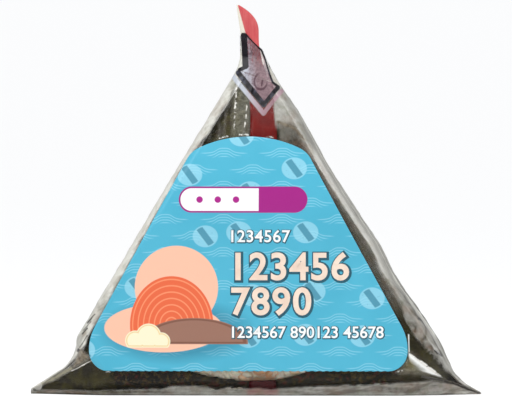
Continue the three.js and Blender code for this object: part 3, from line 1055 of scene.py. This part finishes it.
def add_rice():
    material = rice_material()
    heights = spaced([(RICE_FLOOR, 6, 0.8), (6, RICE_TOP, 2)])
    body = closed_shell("rice_body", RICE, heights, (50, 4, 10), material)
    points, normals = vertices(body)
    set_points(body, points + normals * (0.35 * cloudy(points, 3, 201))[:, None])
    set_values(body, "tone", np.full(len(points), 0.5))
    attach(body, "root")
    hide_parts("wrapper")

    # loose grains where the gap in the nori shows the rice
    rng = np.random.default_rng(7)
    rows, columns = 7, 12
    up = np.arange(1, rows)[:, None] * math.pi / rows
    about = np.arange(columns) * 2 * math.pi / columns
    swell = (1 - 0.12 * np.cos(up) ** 2) * np.sin(up)
    unit = np.stack([np.cos(up) + 0 * about, swell * np.cos(about), swell * np.sin(about)], axis=2)
    unit = np.concatenate([[(1, 0, 0)], unit.reshape(-1, 3), [(-1, 0, 0)]])
    unit[:, 1] += 0.12 * unit[:, 0] ** 2
    ids = ring_ids(rows - 1, columns) + 1
    quads = grid_faces(ids.T)
    top, bottom = ids[0].tolist(), ids[-1].tolist()
    for i in range(columns):
        quads += [(0, top[i], top[i + 1]), (len(unit) - 1, bottom[i + 1], bottom[i])]
    points, faces, tones = [], [], []
    wx, wz, rx, rz = WINDOW
    for _ in range(GRAIN_COUNT):
        angle, radius = rng.uniform(0, 2 * math.pi), math.sqrt(rng.uniform(0, 1))
        gx = wx + (rx + 1.5) * radius * math.cos(angle)
        gz = max(wz + (rz + 1.2) * radius * math.sin(angle), 3.2)
        size = np.array(GRAIN_SIZE) * rng.uniform(0.88, 1.1)
        lean, tilt = rng.uniform(-1.3, 1.3), rng.uniform(-0.35, 0.35)
        axis = np.array([math.cos(lean) * math.cos(tilt), math.sin(tilt), math.sin(lean) * math.cos(tilt)])
        beside = np.cross(axis, (0, 1, 0))
        beside /= np.linalg.norm(beside)
        turn = np.stack([axis, beside, np.cross(axis, beside)])
        gy = -float(RICE.depth(np.array(gx), np.array(gz))) + rng.uniform(0.4, 0.8)
        first = len(points)
        points.extend(unit * size @ turn + (gx, gy, gz))
        faces.extend([tuple(first + i for i in q) for q in quads])
        tone = rng.uniform(0.1, 0.7) + 0.3 * math.exp(-(((gx - 1) / 5) ** 2))
        tones.extend([tone] * len(unit))
    grains = make_object("rice_grains", points, faces, material)
    set_values(grains, "tone", tones)
    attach(grains, "root")
    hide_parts("wrapper")


def tape_on_front(z):
    """Places along the tape's outer face on the front: x, y, z and half-width."""
    lean = smooth(TAPE_BEND_Z, TAPE_BEND_TOP, z)
    x = mix(TAPE_X, TAB_X, lean)
    level = smooth(TAPE_LEVEL_Z, TAB_TIP_START, z)
    y = -mix(BODY.depth(x, z), TOP_HALF_DEPTH, level) - TAPE_LIFT * smooth(TAPE_LIFT_Z, TAPE_LIFT_TOP, z)
    half = mix(TAPE_HALF, TAB_HALF, lean)
    # within the neck it stays inside the film's left edge
    left, right = x - half, x + half
    left = np.maximum(left, -3.5 + 0.4 * smooth(73, 76, z) * smooth(TAB_TIP_START, 82.6, z))
    return np.stack([(left + right) / 2, y, z, (right - left) / 2], axis=1)


def tape_stations():
    """Places along the tape's middle: x, y, z and half-width, from the tab's tip to the back."""
    z = np.linspace(TAB_TOP, TAB_TIP_START, 30, endpoint=False)
    tip = share(TAB_TIP_START, TAB_TOP, z)
    right = mix(TAB_X + TAB_HALF, TAB_TIP_X + TAB_TIP_HALF, tip**TAB_TIP_CURVE)
    left = mix(TAB_X - TAB_HALF, TAB_TIP_X - TAB_TIP_HALF, tip)
    y = -TOP_HALF_DEPTH - TAPE_LIFT - TAB_FORWARD * tip
    tab = np.stack([(left + right) / 2, y, z, (right - left) / 2], axis=1)
    down = tape_on_front(spaced([(0, 4, 0.25), (4, 36, 2), (36, TAB_TIP_START, 0.7)])[::-1])
    up = down[down[:, 2] <= TAPE_BACK_TOP][::-1] * (1, -1, 1, 1)
    return np.concatenate([tab, down, up])


def add_tape():
    stations = tape_stations()
    ahead = np.roll(stations, -1, axis=0)
    behind = np.roll(stations, 1, axis=0)
    ahead[-1], behind[0] = stations[-1], stations[0]
    normal = np.stack([ahead[:, 2] - behind[:, 2], behind[:, 1] - ahead[:, 1]], axis=1)
    normal /= np.linalg.norm(normal, axis=1)[:, None]
    across = np.linspace(-1, 1, 9)
    points = []
    for (x, y, z, half), (ny, nz) in zip(stations, normal):
        curl = 0.35 * float(smooth(83, 88, z))
        for s in across:
            points.append((x + half * s, y + curl * (s * s - 1) * 0.6, z))
        for s in across[::-1]:
            inner = -TAPE_THICKNESS
            points.append((x + half * s, y + curl * (s * s - 1) * 0.6 + ny * inner, z + nz * inner))
    ids = ring_ids(len(stations), 2 * len(across))
    faces = grid_faces(ids.T) + [ids[0, :-1].tolist(), ids[-1, -2::-1].tolist()]
    tape = make_object("tape", points, faces, tape_material())
    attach(tape, "root")
    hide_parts("tear_tape")


def label_place(x, z, out):
    """Points on the label's face at given x and z, standing out from the pack by out."""
    return np.stack([x, -BODY.depth(x, z) - out, z], axis=-1)


def add_label():
    rows, columns = 190, 150
    t = (1 - np.cos(np.linspace(0, math.pi, rows))) / 2
    z = mix(LABEL_BOTTOM, LABEL_TOP, mix(np.linspace(0, 1, rows), t, 0.6))
    half = np.maximum(label_half(z), 0.8)
    s = np.linspace(-1, 1, columns)
    x = LABEL_X + half[:, None] * s[None, :]
    zz = np.broadcast_to(z[:, None], x.shape).copy()
    # the foot's cut edge has small teeth
    zz[0] += LABEL_TOOTH * np.maximum(0, np.sin(x[0] * 2 * math.pi / LABEL_TOOTH_PITCH))
    outer = label_place(x, zz, LABEL_GAP + LABEL_THICKNESS).reshape(-1, 3)
    inner = label_place(x, zz, LABEL_GAP).reshape(-1, 3)
    count = rows * columns
    ids = np.arange(count).reshape(rows, columns)
    faces = grid_faces(ids)
    faces += [[v + count for v in reversed(quad)] for quad in faces]
    border = np.concatenate([ids[0], ids[1:, -1], ids[-1, -2::-1], ids[-2:0:-1, 0]]).tolist()
    for a, b in zip(border, border[1:] + border[:1]):
        faces.append((a, a + count, b + count, b))
    label = make_object("front_label", np.concatenate([outer, inner]), faces, label_material())
    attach(label, "root")
    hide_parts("label")


def number_shapes(text, height, spacing, swell):
    """Flat outlines of a row of numbers: points (x, z) in millimetres and faces."""
    curve = bpy.data.curves.new("numbers", "FONT")
    curve.body = text
    curve.size = height * 1.38
    curve.space_character = spacing
    curve.offset = swell
    curve.resolution_u = 5
    holder = new_object("numbers", curve)
    bpy.context.view_layer.update()
    mesh = holder.evaluated_get(bpy.context.evaluated_depsgraph_get()).to_mesh()
    points = np.array([v.co[:2] for v in mesh.vertices])
    faces = [tuple(p.vertices) for p in mesh.polygons]
    holder.to_mesh_clear()
    bpy.data.objects.remove(holder)
    bpy.data.curves.remove(curve)
    return points, faces


def add_numbers():
    """Rows of plain numbers, light with a dark edge, printed on the label."""
    dark = plain_material("teal_ink", (20, 78, 96), (26, 92, 110), 0.5)
    cream = plain_material("cream_ink", (244, 224, 206), (234, 206, 186), 0.45)
    white = plain_material("white_ink", (250, 250, 248), (238, 242, 242), 0.45)
    rows = (
        ("1234567", -5.6, 35.3, 2.8, 1.06, 0.06, 0.2, white),
        ("123456", -5.5, 26.7, 6.3, 1.08, 0.2, 0.42, cream),
        ("7890", -5.1, 18.7, 6.3, 1.1, 0.2, 0.42, cream),
        ("1234567 890123 45678", -5.4, 13.3, 2.7, 1, 0.06, 0.2, white),
    )
    for i, (text, left, foot, height, spacing, weight, edge, ink) in enumerate(rows):
        for name, material, swell, out, shift in (
            ("edge", dark, weight + edge, 0.02, edge * 0.4),
            ("face", ink, weight, 0.04, 0),
        ):
            flat, faces = number_shapes(text, height, spacing, swell)
            x, z = flat[:, 0] + left + shift, flat[:, 1] + foot - shift
            points = label_place(x, z, LABEL_GAP + LABEL_THICKNESS + out)
            piece = make_object(f"numbers_{i + 1}_{name}", points, faces, material, False)
            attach(piece, "root")
            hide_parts("label")


# The studio

FLOOR_REACH = 100000
VIEW_WIDTH = 0.11807  # metres across the picture at the pack


def add_lamp(name, kind, energy):
    light = bpy.data.lights.new(name, kind)
    light.energy = energy
    return light, new_object(name, light)


def add_studio():
    floor_surface = Surface("floor", Roughness=0.8, Specular_IOR_Level=0)
    floor_surface.set("Base Color", (0.93, 0.93, 0.93, 1))
    corners = [(x * FLOOR_REACH, y * FLOOR_REACH, 0) for x, y in ((-1, -1), (1, -1), (1, 1), (-1, 1))]
    floor = make_object("floor", corners, [(0, 1, 2, 3)], floor_surface.material, False)
    floor.location.z = -0.02 * MM

    world = bpy.data.worlds.new("studio")
    bpy.context.scene.world = world
    world.use_nodes = True
    background = world.node_tree.nodes["Background"]
    background.inputs["Color"].default_value = (0.95, 0.97, 1, 1)
    background.inputs["Strength"].default_value = 0.35

    sun, lamp = add_lamp("sun_top", "SUN", 2.3)
    sun.angle = math.radians(60)
    lamp.rotation_euler = (math.radians(14), 0, math.radians(-30))
    for name, place, size, energy in (
        ("soft_left", (-0.7, -0.75, 0.75), 0.5, 3),
        ("soft_right", (0.9, -0.3, 0.55), 0.45, 2.5),
    ):
        light, lamp = add_lamp(name, "AREA", energy)
        light.size = size
        lamp.location = place
        aim(lamp, (0, 0, 0.04))


def aim(obj, target):
    away = [a - b for a, b in zip(obj.location, target)]
    flat = math.hypot(away[0], away[1])
    obj.rotation_euler = (math.atan2(flat, away[2]), 0, math.atan2(away[0], -away[1]))


def add_camera():
    azimuth, elevation, distance = math.radians(3), math.radians(0.85), 3.5
    target = (0, 0, 0.04469)
    data = bpy.data.cameras.new("camera")
    data.sensor_width = 36
    data.lens = data.sensor_width * distance / VIEW_WIDTH
    data.clip_end = 200
    camera = new_object("camera", data)
    camera.location = (
        target[0] + distance * math.cos(elevation) * math.sin(azimuth),
        target[1] - distance * math.cos(elevation) * math.cos(azimuth),
        target[2] + distance * math.sin(elevation),
    )
    aim(camera, target)
    bpy.context.scene.camera = camera


add_film()
add_nori()
add_rice()
add_tape()
add_label()
add_numbers()
add_studio()
add_camera()
bpy.context.scene.view_settings.view_transform = "Standard"
